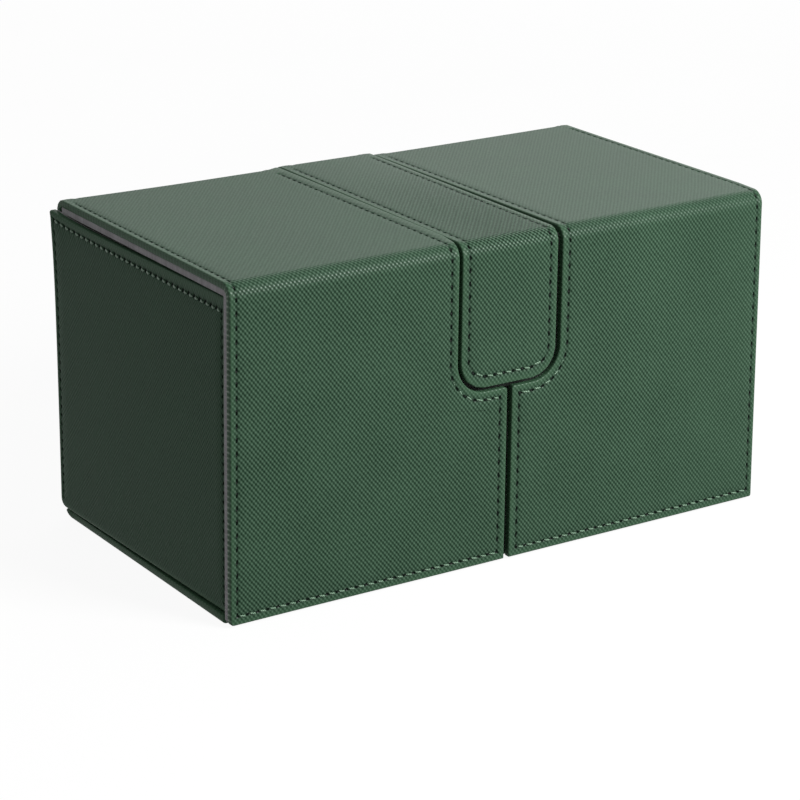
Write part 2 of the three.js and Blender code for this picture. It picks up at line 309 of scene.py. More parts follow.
# A closed panel: the profile carried round the outline, and a grid of rows between the left and right
# runs that fills what is inside. A point of the grid is the share f of the way from left to right. The
# groove of the seam is a bell, and so is the pit at each needle hole.
def makePanel(name, outline, profile, place, look, margin=seam["margin"]):
    d, h, upper, rim = profile
    band, stitch, sewn, mains = walkOutline(outline, d, margin, rim)
    topLeft, bottomLeft, bottomRight, topRight = mains
    around, across = band.shape[:2]
    away = np.abs(stitch - np.round(stitch))
    depth = seam["grooveDepth"] * bell((d - margin) / seam["grooveWidth"])
    pit = bell(away / seam["holeLength"])[:, None]
    hollow = depth * (1 + pit * seam["holeDepth"] / seam["grooveDepth"]) * upper
    heights = h - hollow * sewn[:, None]

    rows = bottomLeft - topLeft
    columns = bottomRight - bottomLeft
    left = (topLeft + np.arange(rows + 1)) % around
    right = (topRight - np.arange(rows + 1)) % around
    bottom = bottomLeft + np.arange(columns + 1)
    top = (topLeft - np.arange(columns + 1)) % around
    facing = (topRight - bottomRight, (topLeft - topRight) % around)
    if facing != (rows, columns):
        raise ValueError(f"{name}: {rows} rows and {columns} columns face {facing}")
    inner = band[:, -1]
    down = np.linspace(0, 1, rows + 1)[:, None]
    f = ((1 - down) * shareAlong(inner[top]) + down * shareAlong(inner[bottom]))[:, :, None]
    grid = inner[left][:, None] * (1 - f) + inner[right][:, None] * f
    bandTotal = around * across
    bandIndex = np.arange(bandTotal).reshape(around, across)
    insideCount = (rows - 1) * (columns - 1)

    def fill(lane, first):
        index = np.empty((rows + 1, columns + 1), int)
        index[1:-1, 1:-1] = first + np.arange(insideCount).reshape(rows - 1, columns - 1)
        index[:, 0], index[:, -1] = bandIndex[left, lane], bandIndex[right, lane]
        index[0], index[-1] = bandIndex[top, lane], bandIndex[bottom, lane]
        return index

    def quads(index):
        return np.stack([index[:-1, :-1], index[1:, :-1], index[1:, 1:], index[:-1, 1:]], -1).reshape(-1, 4)

    looped = join([bandIndex, bandIndex[:1]])
    faces = join([
        quads(looped), quads(fill(-1, bandTotal)), quads(fill(0, bandTotal + insideCount))[:, ::-1]])
    inside = grid[1:-1, 1:-1].reshape(-1, 2)
    flat = join([band.reshape(-1, 2), inside, inside])
    tall = join([heights.ravel(), np.full(insideCount, h[-1]), np.full(insideCount, h[0])])
    steps = np.hypot(np.diff(d), np.diff(h))
    developed = d[-1] - join([np.cumsum(steps[::-1])[::-1], [0]])
    developed = np.where(upper > 0, developed, d)
    weave = join([walkOutline(outline, developed, margin, rim)[0].reshape(-1, 2), inside, inside])
    offSeam = np.where(sewn[:, None] * upper > 0, d - margin, seam["farAway"])
    bandSeam = np.stack([np.broadcast_to(stitch[:, None], offSeam.shape), offSeam], -1).reshape(-1, 2)
    seamMap = join([bandSeam, np.full((2 * insideCount, 2), seam["farAway"])])
    rimMap = join([np.broadcast_to(developed, offSeam.shape).ravel(), np.full(2 * insideCount, d[-1])])
    uvs = {"weave": weave, "seam": seamMap}
    return addMesh(name, place(flat, tall), faces.tolist(), look, uvs, rimMap)


# Across and down: the share of a stitch that its thread shows, and how high it lies there
thread = {
    "radius": 0.31, "flatness": 0.8, "across": (0.7, 0.26), "down": (0.5, -0.25), "dive": 0.42, "slant": 0.2,
    "rings": 9, "sides": 7, "wholeWithin": 1e-6, "tipRoom": 1e-4, "sharpAngle": 80,
}


# Stitches between needle holes. Along one stitch a runs from -1 to 1: its middle line dives as a to the
# fourth power, and its radius falls off as the square root of 1 - a to the sixth.
def makeStitches(name, outline, place, margin=seam["margin"], look="sewingThread",
                 across=thread["across"]):
    points, stitch, sewn, _ = walkOutline(outline, [margin], margin, 0.0)
    nearest = np.round(stitch)
    whole = np.flatnonzero(np.abs(stitch - nearest) < thread["wholeWithin"])
    number = nearest[whole].astype(int)
    _, arriving = np.unique(number, return_index=True)
    _, leaving = np.unique(number[::-1], return_index=True)
    first, last = whole[arriving], whole[::-1][leaving]
    stitched = sewn[last[:-1]] > 0
    starts, ends = points[last[:-1], 0][stitched], points[first[1:], 0][stitched]
    length = np.linalg.norm(ends - starts, axis=1)
    forward = (ends - starts) / length[:, None]
    aside = np.stack([-forward[:, 1], forward[:, 0]], -1)
    a = np.linspace(-1, 1, thread["rings"])[:, None]
    turn = np.arange(thread["sides"]) / thread["sides"] * wholeTurn
    radius = thread["radius"] * np.sqrt(1 + thread["tipRoom"] - a ** 6)
    shape = (len(starts), thread["rings"], thread["sides"])
    b = np.broadcast_to(radius * np.cos(turn) + thread["slant"] * a, shape)
    lie = np.abs(forward[:, 1])[:, None, None]
    share, rise = (level * (1 - lie) + upright * lie for level, upright in zip(across, thread["down"]))
    h = radius * np.sin(turn) * thread["flatness"] + rise - thread["dive"] * a ** 4
    h = np.broadcast_to(h - seam["grooveDepth"], shape)
    reach = length[:, None, None] * share / 2 * np.broadcast_to(a, shape)
    middle = ((starts + ends) / 2)[:, None, None]
    flat = middle + reach[..., None] * forward[:, None, None] + b[..., None] * aside[:, None, None]
    index = np.arange(np.prod(shape)).reshape(shape)
    looped = join([index, index[:, :, :1]], 2)
    faces = np.stack([looped[:, :-1, :-1], looped[:, 1:, :-1], looped[:, 1:, 1:], looped[:, :-1, 1:]], -1)
    faces = faces.reshape(-1, 4).tolist() + index[:, 0].tolist() + index[:, -1].tolist()
    twist = np.stack(np.broadcast_arrays(a + np.arange(shape[0])[:, None, None], turn / quarter), -1)
    return addMesh(
        name, place(flat, h), faces, look, {"twist": twist}, sharpAngle=thread["sharpAngle"])


# Levels of an sRGB colour, turned to linear light
def linear(*levels):
    tone = np.array(levels) / 255
    tone = np.where(tone <= 0.04045, tone / 12.92, ((tone + 0.055) / 1.055) ** 2.4)
    return (*tone.tolist(), 1.0)


drawn = {}  # holds the node tree that nodes are added to


def setInputs(node, inputs):
    for key, value in inputs.items():
        if isinstance(value, bpy.types.NodeSocket):
            drawn["tree"].links.new(value, node.inputs[key])
        else:
            node.inputs[key].default_value = value


def addNode(kind, inputs=None, **settings):
    made = drawn["tree"].nodes.new("ShaderNode" + kind)
    for key, value in settings.items():
        setattr(made, key, value)
    setInputs(made, inputs or {})
    return made


def makeSum(operation):
    def addSum(*values, clamp=False):
        return addNode("Math", dict(enumerate(values)), operation=operation, use_clamp=clamp).outputs[0]
    return addSum


plus, minus, times, over, timesPlus, power, larger = (makeSum(operation) for operation in (
    "ADD", "SUBTRACT", "MULTIPLY", "DIVIDE", "MULTIPLY_ADD", "POWER", "MAXIMUM"))
sine, cosine, absolute, rounded, root, isBelow, isAbove = (makeSum(operation) for operation in (
    "SINE", "COSINE", "ABSOLUTE", "ROUND", "SQRT", "LESS_THAN", "GREATER_THAN"))


# A Mix node takes its share at 0, values at 2 and 3 and colours at 6 and 7.
def mixColour(share, first, second):
    return addNode("Mix", {0: share, 6: first, 7: second}, data_type="RGBA").outputs[2]


def mixValue(share, first, second):
    return addNode("Mix", {0: share, 2: first, 3: second}, data_type="FLOAT").outputs[0]


def mapRange(value, low, high, start, end, kind="LINEAR"):
    inputs = dict(enumerate((value, low, high, start, end)))
    return addNode("MapRange", inputs, interpolation_type=kind).outputs[0]


def split(vector):
    return addNode("SeparateXYZ", {0: vector}).outputs


def addNoise(vector, scale, detail, **more):
    return addNode("TexNoise", {"Vector": vector, "Scale": scale, "Detail": detail, **more}).outputs[0]


def makeGroup(name, sizes, *outputs):
    group = bpy.data.node_groups.new(name, "ShaderNodeTree")
    drawn["tree"] = group

    def addSocket(label, way, kind="Float"):
        return group.interface.new_socket(label, in_out=way, socket_type="NodeSocket" + kind)

    addSocket("Vector", "INPUT", "Vector")
    for label, size in sizes.items():
        addSocket(label, "INPUT").default_value = size
    for label in outputs:
        addSocket(label, "OUTPUT")
    return group.nodes.new("NodeGroupInput").outputs, group.nodes.new("NodeGroupOutput")


def addGroup(name, **inputs):
    return addNode("Group", inputs, node_tree=bpy.data.node_groups[name]).outputs


lozenge = {"wobble": 1.8, "crestPower": 0.9}


# Embossed lozenges: two crossing waves, cos(a + b) and cos(a - b), of which the second is the stronger. The
# height is their sum, brought to 0 to 1, and the crest is a power of it with flecks.
def makeLozengeGroup():
    sizes = {"Across": 1.4, "Along": 1.66, "Cross": 0.4, "Uneven": 0.5}
    given, out = makeGroup("lozengeGrain", sizes, "Height", "Crest")
    x, y, _ = split(given["Vector"])
    wobble = addNoise(given["Vector"], scale=0.35, detail=1.0)
    a = times(over(x, given["Across"]), wholeTurn)
    b = times(over(y, given["Along"]), wholeTurn)
    a = plus(a, times(minus(wobble, 0.5), lozenge["wobble"]))
    weak = times(cosine(plus(a, b)), given["Cross"])
    strong = cosine(minus(a, b))
    total = over(plus(weak, strong), plus(given["Cross"], 1.0))
    height = timesPlus(total, 0.5, 0.5)
    flecks = addNoise(given["Vector"], scale=0.9, detail=2.0)
    uneven = times(minus(flecks, 0.5), given["Uneven"])
    setInputs(out, {"Height": height, "Crest": plus(power(height, lozenge["crestPower"]), uneven)})


# Slow change of tone over the surface, as a share round zero.
def makeCloudGroup():
    given, out = makeGroup("slowTone", {"Size": 18.0, "Amount": 0.2}, "Tone")
    scale = over(1.0, given["Size"])
    noise = addNoise(given["Vector"], scale, detail=4.0, Roughness=0.6)
    setInputs(out, {"Tone": times(minus(noise, 0.5), given["Amount"])})


needleHole = {"fade": (0.75, 1.15), "crease": (0.15, 0.75)}


# Needle holes: an oval round each whole stitch number, on the line of the seam, and a crease along the line.
def makeHoleGroup():
    given, out = makeGroup("needleHoles", {"Length": 0.2, "Width": 0.4}, "Hole", "Crease")
    stitch, off, _ = split(given["Vector"])
    past = minus(stitch, rounded(stitch))
    ways = ((past, given["Length"]), (off, given["Width"]))
    distance = root(plus(*(power(absolute(over(way, size)), 2.0) for way, size in ways)))
    hole = mapRange(distance, *needleHole["fade"], 1.0, 0.0, "SMOOTHSTEP")
    crease = mapRange(absolute(off), *needleHole["crease"], 1.0, 0.0, "SMOOTHSTEP")
    setInputs(out, {"Hole": hole, "Crease": crease})


# Short fibres: fine noise stretched along X, for felt, board and metal.
def makeNapGroup():
    given, out = makeGroup("fibreNap", {"Size": 0.35, "Stretch": 1.6}, "Height", "Tone")
    x, y, z = split(given["Vector"])
    stretched = addNode("CombineXYZ", {0: over(x, given["Stretch"]), 1: y, 2: z})
    scale = over(1.0, given["Size"])
    noise = addNoise(stretched.outputs[0], scale, detail=5.0, Roughness=0.65, Distortion=0.4)
    setInputs(out, {"Height": noise, "Tone": minus(noise, 0.5)})


def newMaterial(name):
    material = bpy.data.materials.new(name)
    material.use_nodes = True
    drawn["tree"] = material.node_tree
    return material.node_tree.nodes["Principled BSDF"]


def uvMap(label):
    return addNode("UVMap", uv_map=label).outputs[0]


def addBump(shader, height, distance):
    bump = addNode("Bump", {"Height": height, "Distance": distance * metre})
    setInputs(shader, {"Normal": bump.outputs[0]})


# The groove and crest colours are partly the grain's own tone and partly painted shade in the grooves and
# painted highlight on the crests.
leather = {
    "groove": linear(14, 37, 23), "crest": linear(72, 102, 80), "rim": linear(63, 96, 70),
    # The hole colour is painted shade for the needle holes and the crease of the seam.
    "hole": linear(4, 16, 9), "roughGroove": 0.62, "roughCrest": 0.46, "roughTone": 0.15, "roughHole": 0.4,
    "relief": 0.1, "smoothRelief": 0.25, "holeRelief": 2.0, "specular": 0.09, "cross": 0.5, "even": 0.56,
    "tone": {"Size": 22.0, "Amount": 0.3}, "rimRange": (0.4, 2.3), "rimShare": 0.5, "creaseShadeShare": 0.25,
    "flatter": 0.7, "flatterLead": 1.0, "strapHighlightBoost": 2.0, "strapRoom": 0.5, "boostStart": 20.0,
    "boostLead": 15.0, "rightRange": (45.0, 90.0), "farRight": 0.7, "edgeRange": (92.0, 94.0),
    "edgeLead": 6.0, "edgeHidden": 0.75, "polish": 0.07, "polishLead": 5.0, "peakPower": 6.0,
    "shineRange": (1.0, 3.0), "glintRough": 0.42, "rimShine": 0.1,
}


# Contrast of the grain: flatter on the top, boosted on the strap towards the bend, weaker on the far right.
# The grain's colour contrast is partly painted light: flatter on the top for the flat light there, and
# boosted on the strap as painted highlight on its lit crests.
def leatherContrast(across, down):
    contrast = mapRange(down, lidEnd - leather["flatterLead"], flapStart, leather["flatter"], 1.0)
    boost = mapRange(across, tabLow[0], 0.0, 0.0, leather["strapHighlightBoost"])
    boost = times(boost, isBelow(across, tabHigh[0] + leather["strapRoom"]))
    boostStart, boostEnd = lidStart + leather["boostStart"], lidEnd - leather["boostLead"]
    boost = mapRange(down, boostStart, boostEnd, 0.0, boost)
    contrast = plus(contrast, mapRange(down, lidEnd, flapStart, boost, 0.0))
    return times(contrast, mapRange(across, *leather["rightRange"], 1.0, leather["farRight"]))


# How much painted shade the needle holes and the crease of the seam get. Most of it is hidden on the top's
# far right edge.
def paintedHoleShade(across, down, holes):
    dark = plus(holes["Hole"], times(holes["Crease"], leather["creaseShadeShare"]), clamp=True)
    beyond = mapRange(across, *leather["edgeRange"], 0.0, leather["edgeHidden"])
    onTop = mapRange(down, lidEnd - leather["edgeLead"], lidEnd, beyond, 0.0)
    hidden = times(onTop, isAbove(down, lidStart))
    return times(dark, minus(1.0, hidden))


# The colour goes from groove to crest with grain and tone, partly painted shade and highlight, then to the
# rim's own colour and to the painted shade of the needle holes and the crease. The coat polishes the top from
# the strap to the right, and makes the grain's peaks glint at the front.
def makeLeather():
    shader = newMaterial("greenLeather")
    weave = uvMap("weave")
    rim = addNode("Attribute", attribute_name="rimDistance").outputs["Fac"]
    grain = addGroup("lozengeGrain", Vector=weave, Cross=leather["cross"])
    tone = addGroup("slowTone", Vector=weave, **leather["tone"])
    holes = addGroup("needleHoles", Vector=uvMap("seam"))
    smooth = minus(1.0, mapRange(rim, *leather["rimRange"], 0.0, 1.0, "SMOOTHSTEP"))
    across, down, _ = split(weave)
    contrast = leatherContrast(across, down)
    crest = timesPlus(minus(grain["Crest"], leather["even"]), contrast, leather["even"])
    colour = mixColour(plus(crest, tone["Tone"], clamp=True), leather["groove"], leather["crest"])
    colour = mixColour(times(smooth, leather["rimShare"]), colour, leather["rim"])
    colour = mixColour(paintedHoleShade(across, down, holes), colour, leather["hole"])
    rough = mixValue(crest, leather["roughGroove"], leather["roughCrest"])
    rough = timesPlus(tone["Tone"], leather["roughTone"], rough)
    rough = timesPlus(holes["Hole"], leather["roughHole"], rough)
    polish = mapRange(down, lidStart - leather["polishLead"], lidStart, 0.0, leather["polish"])
    polish = mapRange(across, tabLow[0], tabHigh[0], 0.0, polish)
    peaks = power(grain["Height"], leather["peakPower"])
    shine = mapRange(down, *(lidEnd + way for way in leather["shineRange"]), polish, peaks)
    shine = timesPlus(smooth, leather["rimShine"], shine, clamp=True)
    setInputs(shader, {
        "Base Color": colour, "Roughness": rough, "Specular IOR Level": leather["specular"],
        "Coat Weight": shine, "Coat Roughness": leather["glintRough"]})
    relief = times(grain["Height"], mixValue(smooth, 1.0, leather["smoothRelief"]))
    relief = minus(times(relief, contrast), times(holes["Hole"], leather["holeRelief"]))
    addBump(shader, relief, leather["relief"])


lining = {
    "dark": linear(132, 129, 132), "light": linear(232, 229, 234), "relief": 0.12,
    "tone": {"Size": 7.0, "Amount": 0.9},
    "shader": {"Roughness": 0.95, "Specular IOR Level": 0.25, "Sheen Weight": 0.3, "Sheen Roughness": 0.5},
}


def makeLining():
    shader = newMaterial("greyFelt")
    weave = uvMap("weave")
    nap = addGroup("fibreNap", Vector=weave)
    tone = addGroup("slowTone", Vector=weave, **lining["tone"])
    share = plus(nap["Height"], tone["Tone"], clamp=True)
    setInputs(shader, {"Base Color": mixColour(share, lining["dark"], lining["light"]), **lining["shader"]})
    addBump(shader, nap["Height"], lining["relief"])


board = {
    "dark": linear(30, 36, 32), "light": linear(50, 58, 52), "relief": 0.05, "napSize": 0.8,
    "grain": {"Across": 0.9, "Along": 1.1, "Cross": 0.8}, "roughTone": 0.3, "roughness": 0.7,
}


def makeBoardWrap():
    shader = newMaterial("darkWrap")
    weave = uvMap("weave")
    grain = addGroup("lozengeGrain", Vector=weave, **board["grain"])
    nap = addGroup("fibreNap", Vector=weave, Size=board["napSize"])
    share = plus(grain["Height"], nap["Tone"], clamp=True)
    rough = timesPlus(nap["Tone"], board["roughTone"], board["roughness"])
    colour = mixColour(share, board["dark"], board["light"])
    setInputs(shader, {"Base Color": colour, "Roughness": rough})
    addBump(shader, grain["Height"], board["relief"])


threadColour = {
    "sewingThread": (linear(56, 92, 66), linear(138, 170, 144)),
    # The pale thread is a lighter copy of the sewing thread: painted light for stitches that catch the light
    # on the shaded end faces.
    "paleThread": (linear(96, 126, 104), linear(200, 222, 204)),
}
ply = {"turns": 12.0, "roughness": 0.45, "relief": 0.05}


# Plies of a thread: a sine of the way along it and round it, brought to 0 to 1.
def makeThread(name):
    shader = newMaterial(name)
    along, around, _ = split(uvMap("twist"))
    turn = plus(times(along, ply["turns"]), times(around, quarter))
    height = timesPlus(sine(turn), 0.5, 0.5)
    colour = mixColour(height, *threadColour[name])
    setInputs(shader, {"Base Color": colour, "Roughness": ply["roughness"]})
    addBump(shader, height, ply["relief"])


metal = {"steel": (linear(168, 172, 176), 0.38), "nickel": (linear(200, 200, 196), 0.22)}
brushed = {"nap": {"Size": 0.6 * metre, "Stretch": 8.0}, "roughTone": 0.3, "darker": 0.7}


def makeMetal(name):
    colour, roughness = metal[name]
    shader = newMaterial(name)
    place = addNode("TexCoord").outputs["Object"]
    nap = addGroup("fibreNap", Vector=place, **brushed["nap"])
    darker = tuple(brushed["darker"] * value for value in colour[:3]) + (1.0,)
    setInputs(shader, {
        "Base Color": mixColour(nap["Height"], darker, colour), "Metallic": 1.0,
        "Roughness": timesPlus(nap["Tone"], brushed["roughTone"], roughness)})


for makeIt in (makeLozengeGroup, makeCloudGroup, makeHoleGroup, makeNapGroup,
               makeLeather, makeLining, makeBoardWrap):
    makeIt()
for spool in threadColour:
    makeThread(spool)
for finish in metal:
    makeMetal(finish)
print("materials made")


cover = {
    "backDrop": 0.6, "backRadius": 1.2, "footRadius": {-1: 1.2, 1: 0.8}, "seamRadius": 0.4,
    "notchRadius": 1.0, "cutoutRadius": 10.25, "cutoutGap": 1.25, "tabRadius": 9.0, "tabMargin": 3.6,
    "outerMargin": 2.1, "rim": 0.5, "lowerRim": 0.4, "reach": 6.0, "swell": 0.05, "rowLead": 5.3,
    "leadSteps": 6, "bendSteps": 8, "tabSteps": 6, "bendStitches": 2, "liningTuck": 0.9, "gapTuck": 1.0,
    "footRaise": 0.3, "flapBelly": 0.3,
}
coverFelt = {"rim": 0.15, "lowerRim": 0.35, "reach": 3.0, "start": 0.2, "belly": 0.5}
hinge = {
    "thickness": 1.25, "rim": 0.45, "lowerRim": 0.3, "reach": 2.0, "sink": 0.35, "footGap": 0.1,
    "tuckGap": 0.05, "corner": 0.4, "steps": (20, 10),
}
coverBack = backBendStart - cover["backDrop"]
rowStart = lidStart + cover["rowLead"]
cutoutTrack = trackAtFront(tabLow[2] - cover["cutoutGap"])
flapFoot, tabFoot = trackAtFront(flapLow[2] + cover["footRaise"]), trackAtFront(tabLow[2])
coarse = len(seam["coarse"])
sides = ((-1, "left"), (1, "right"))


def stitchCount(length, kind):
    return max(1, round(length / seam["pitch"][kind]))


# What a cover's outlines share: a lining's tuck at the gaps, the samples of a stitch, the kind of edge, the
# edge of a bend, and the stitches along the lid
def coverEdges(sewn):
    lidCount = stitchCount(lidEnd - rowStart, "lid")
    if sewn:
        return 0.0, coarse, sewnEdge, sewnEdge(cover["bendStitches"], cover["bendStitches"]), lidCount
    return cover["gapTuck"], 1, plainEdge, plainEdge(cover["bendSteps"]), lidCount


# Outline of a lid, its bend and its flap on the left side.
def coverOutline(outer, cutout, seamLine, back, footRadius, sewn=True):
    margin, side = seam["margin"], cover["outerMargin"]
    tuck, each, makeEdge, bend, lidCount = coverEdges(sewn)
    cutout, seamLine, lipTrack = cutout - tuck, seamLine - tuck, cutoutTrack + tuck
    radius = cover["cutoutRadius"] + tuck
    drop = stitchCount(lipTrack - radius - flapStart, "down")
    turn = stitchCount((radius + margin) * quarter, "down")
    lip = stitchCount(abs(seamLine - cutout) - radius - margin, "across")
    inner = stitchCount(flapFoot - lipTrack - 2 * margin, "down")
    foot = stitchCount(abs(seamLine - outer) - 2 * margin, "across")
    fall = stitchCount(flapFoot - flapStart - margin, "down")
    missing = (drop + turn + lip + inner - fall) * each + cornerSteps
    fallEdge = sewnEdge(fall, missing // 2, side) if sewn else plainEdge(fall + missing)
    lidEdge = sewnEdge(lidCount, margin=side) if sewn else plainEdge(lidCount)
    outerBend = sewnEdge(cover["bendStitches"], cover["bendStitches"], side) if sewn else bend
    lead = plainEdge(cover["leadSteps"])
    return [
        makeStop(outer, back, cover["backRadius"], lead, main=True),
        makeStop(outer, rowStart, edge=lidEdge),
        makeStop(outer, lidEnd, edge=outerBend),
        makeStop(outer, flapStart, edge=fallEdge),
        makeStop(outer, flapFoot, footRadius, makeEdge(foot), main=True),
        makeStop(seamLine, flapFoot, cover["seamRadius"], makeEdge(inner), main=True),
        makeStop(seamLine, lipTrack, cover["notchRadius"], makeEdge(lip)),
        makeStop(cutout, lipTrack, radius, makeEdge(drop), makeEdge(turn)),
        makeStop(cutout, flapStart, edge=bend),
        makeStop(cutout, lidEnd, edge=makeEdge(lidCount)),
        makeStop(cutout, rowStart, edge=lead),
        makeStop(cutout, back, cover["backRadius"], plainEdge(foot * each), main=True),
    ]


def strapOutline(left, right, back, sewn=True):
    tuck, each, makeEdge, bend, lidCount = coverEdges(sewn)
    left, right, tip, radius = left + tuck, right - tuck, tabFoot - tuck, cover["tabRadius"] - tuck
    drop = stitchCount(tip - radius - flapStart, "down")
    turn = stitchCount((radius - seam["margin"]) * quarter, "down") if sewn else cover["tabSteps"]
    foot = stitchCount(right - left - 2 * radius, "across")
    footEdge = sewnEdge(foot, margin=cover["tabMargin"]) if sewn else plainEdge(foot)
    backEdge = plainEdge((foot + turn) * each - cornerSteps)
    lead = plainEdge(cover["leadSteps"])
    return [
        makeStop(left, back, cover["backRadius"], lead, main=True),
        makeStop(left, rowStart, edge=makeEdge(lidCount)),
        makeStop(left, lidEnd, edge=bend),
        makeStop(left, flapStart, edge=makeEdge(drop)),
        makeStop(left, tip, radius, footEdge, makeEdge(turn), main=True),
        makeStop(right, tip, radius, makeEdge(drop), makeEdge(turn), main=True),
        makeStop(right, flapStart, edge=bend),
        makeStop(right, lidEnd, edge=makeEdge(lidCount)),
        makeStop(right, rowStart, edge=lead),
        makeStop(right, back, cover["backRadius"], backEdge, main=True),
    ]


coverProfile = boardProfile(boardThickness, cover, seamed=True)
feltProfile = boardProfile(liningThickness, coverFelt, level=-boardThickness)
hingeProfile = boardProfile(hinge["thickness"], hinge, level=-hinge["sink"])


# Hand-made covers aren't square: how far the outer edge runs inwards from back to foot, how high the top
# stands at its inner and outer edge, and how far the inner edge swells over the gap, at the back and before
# the bend. The drift shifts the middle of the front sideways.
warp = {
    "middle": 18.0, "drift": (-0.1, -0.4, -0.3, 0.0), "insetLead": 8.0, "swellLead": 6.0, "swellPast": 2.0,
    "swellWidth": 1.2, "lip": 0.4,
    -1: {"inset": (1.75, 0.6, 0.35, 0.0), "rise": (0.45, 0.9), "edge": lidHigh[0], "swell": (1.0, 0.9)},
    0: {"inset": (0.0, 0.0, 0.0, 0.0), "rise": (0.95, 0.95), "edge": 0.0, "swell": (0.0, 0.0)},
    1: {"inset": (0.0, 0.0, 1.1, -1.25), "rise": (0.1, 0.65), "edge": rightLidLow[0], "swell": (0.0, 0.0)},
}


def makeCoverPlace(side):
    own = warp[side]
    riseIn, riseOut = own["rise"]
    insetStops = [coverBack, lidEnd - warp["insetLead"], flapStart, flapFoot]
    swellStops = [coverBack, lidEnd - warp["swellLead"], lidEnd + warp["swellPast"]]

    # The share out is 0 beside the strap and 1 at the outer edge: the inset grows with it, the drift falls
    # off with it, and the rise grows with its square. The swell is a bell round the inner edge.
    def placeOnCover(points, heights):
        x, s = points[..., 0], points[..., 1]
        out = np.clip((np.abs(x) - warp["middle"]) / (lidHigh[0] - lidLow[0]), 0, 1)
        inset = np.interp(s, insetStops, own["inset"])
        drift = np.interp(s, [lidEnd, flapStart, cutoutTrack, flapFoot], warp["drift"])
        swell = np.interp(s, swellStops, [*own["swell"], 0])
        swell = swell * bell((x - own["edge"]) / warp["swellWidth"])
        made = placeOnTrack(np.stack([x - side * (inset * out + swell) + drift * (1 - out), s], -1), heights)
        raised = np.interp(s, [coverBack, lidStart, lidEnd], [0, 1, 0])
        made[..., 2] += raised * (riseIn + (riseOut - riseIn) * out ** 2) + warp["lip"] * swell
        return made

    # The lining stays flat where the cover turns down at the back, and bulges less behind the flap.
    def placeLining(points, heights):
        straight = np.stack([points[..., 0], np.maximum(points[..., 1], lidStart)], -1)
        below = np.minimum(heights + boardThickness + liningThickness, 0)
        ease = np.interp(points[..., 1], [lidEnd, flapStart], [0.0, 1 - cover["flapBelly"]])
        made = placeOnCover(straight, heights - below * ease)
        made[..., 1] += straight[..., 1] - points[..., 1]
        return made

    return placeOnCover, placeLining


def makeCover(name, lid, front, outline, liningOutline, hingeNode, side=0):
    placeOnCover, placeLining = makeCoverPlace(side)
    skin = makePanel(f"{name}_leather", outline, coverProfile, placeOnCover, "greenLeather")
    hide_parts(f"{lid}_panel", f"{lid}_front_bend", f"{front}_panel")
    stitching = makeStitches(f"{name}_stitching", outline, placeOnCover)
    felt = makePanel(f"{name}_lining", liningOutline, feltProfile, placeLining, "greyFelt")
    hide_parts(f"{lid}_lining", f"{front}_lining")
    for piece in (skin, stitching, felt):
        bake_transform(piece)
    low, high = cadBox(hingeNode)
    hingeFoot, hingeTop = trackAtBack(backHigh[2]) + hinge["footGap"], coverBack - hinge["tuckGap"]
    bounds = rectangle(low[0], high[0], hingeFoot, hingeTop, hinge)
    strip = makePanel(f"{name}_hinge", bounds, hingeProfile, placeOnTrack, "greenLeather")
    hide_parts(hingeNode)
    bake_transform(strip)


def makeCovers():
    for (side, name), inner in zip(sides, (1, 0)):
        cutout, seamLine = (-side * cadBox(f"{name}_{part}_panel")[inner][0] for part in ("lid", "flap"))
        sizes = [-abs(lidLow[0]), cutout, seamLine]
        radius = cover["footRadius"][side]
        outline = coverOutline(*sizes, coverBack, radius)
        liningOutline = coverOutline(*sizes, lidStart - cover["liningTuck"], radius, sewn=False)
        if side > 0:
            outline, liningOutline = mirrored(outline), mirrored(liningOutline)
        makeCover(f"{name}_cover", f"{name}_lid", f"{name}_flap", outline, liningOutline,
                  f"{name}_lid_back_hinge", side)
    left, right = tabLow[0], tabHigh[0]
    makeCover("strap_cover", "strap", "tab", strapOutline(left, right, coverBack),
              strapOutline(left, right, lidStart - cover["liningTuck"], sewn=False), "strap_back_hinge")
    print("covers made")


wrap = {
    "splay": (-1.1, 0.8), "splayReach": 18.0, "notchDegrees": 63.6, "corner": 1.0, "notchRadius": 0.3,
    "reach": 2.8, "margin": 2.0, "rim": 0.9, "lowerRim": 0.4, "steps": (12, 6, 2, 4),
}


# The wrap of the base and back: wide under the drawers' faces, narrower up the back between them.
def makeWrap():
    wide, narrow = baseHigh[0], backHigh[0]

    # The base's left edge runs askew: out at the front, in at the back. It fades up the bend and inwards.
    def placeWrap(points, heights):
        x, s = points[..., 0], points[..., 1]
        splay = np.interp(s, [0, legLengths[0], backStart], [*wrap["splay"], 0])
        out = np.clip((-x - wide) / wrap["splayReach"] + 1, 0, 1)
        return placeOnTrack(np.stack([x + splay * out, s], -1), heights)

    bendStart, corner, slit = legStarts[1], wrap["corner"], wrap["notchRadius"]
    notch = bendStart + wrapBend * math.radians(wrap["notchDegrees"])
    top = trackAtBack(backHigh[2])
    across, up = stitchCount(2 * narrow, "across"), stitchCount(top - backStart, "down")
    flat, bend, ledge, neck = (plainEdge(steps) for steps in wrap["steps"])
    left = [
        makeStop(-wide, 0, corner, flat, main=True),
        makeStop(-wide, bendStart, edge=bend),
        makeStop(-wide, notch, corner, ledge),
        makeStop(-narrow, notch, slit, neck),
        makeStop(-narrow, backStart, edge=sewnEdge(up)),
        makeStop(-narrow, top, corner, sewnEdge(across), main=True),
    ]
    outline = left + mirrored(left)
    outline[-1]["edge"] = plainEdge(across * coarse)
    profile = boardProfile(backHigh[1] - backLow[1], wrap, seamed=True)
    piece = makePanel("case_wrap", outline, profile, placeWrap, "greenLeather", wrap["margin"])
    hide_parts("base_panel", "back_panel")
    stitching = makeStitches("case_wrap_stitching", outline, placeWrap, wrap["margin"])
    for made in (piece, stitching):
        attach(made, "case")
    print("case wrap made")


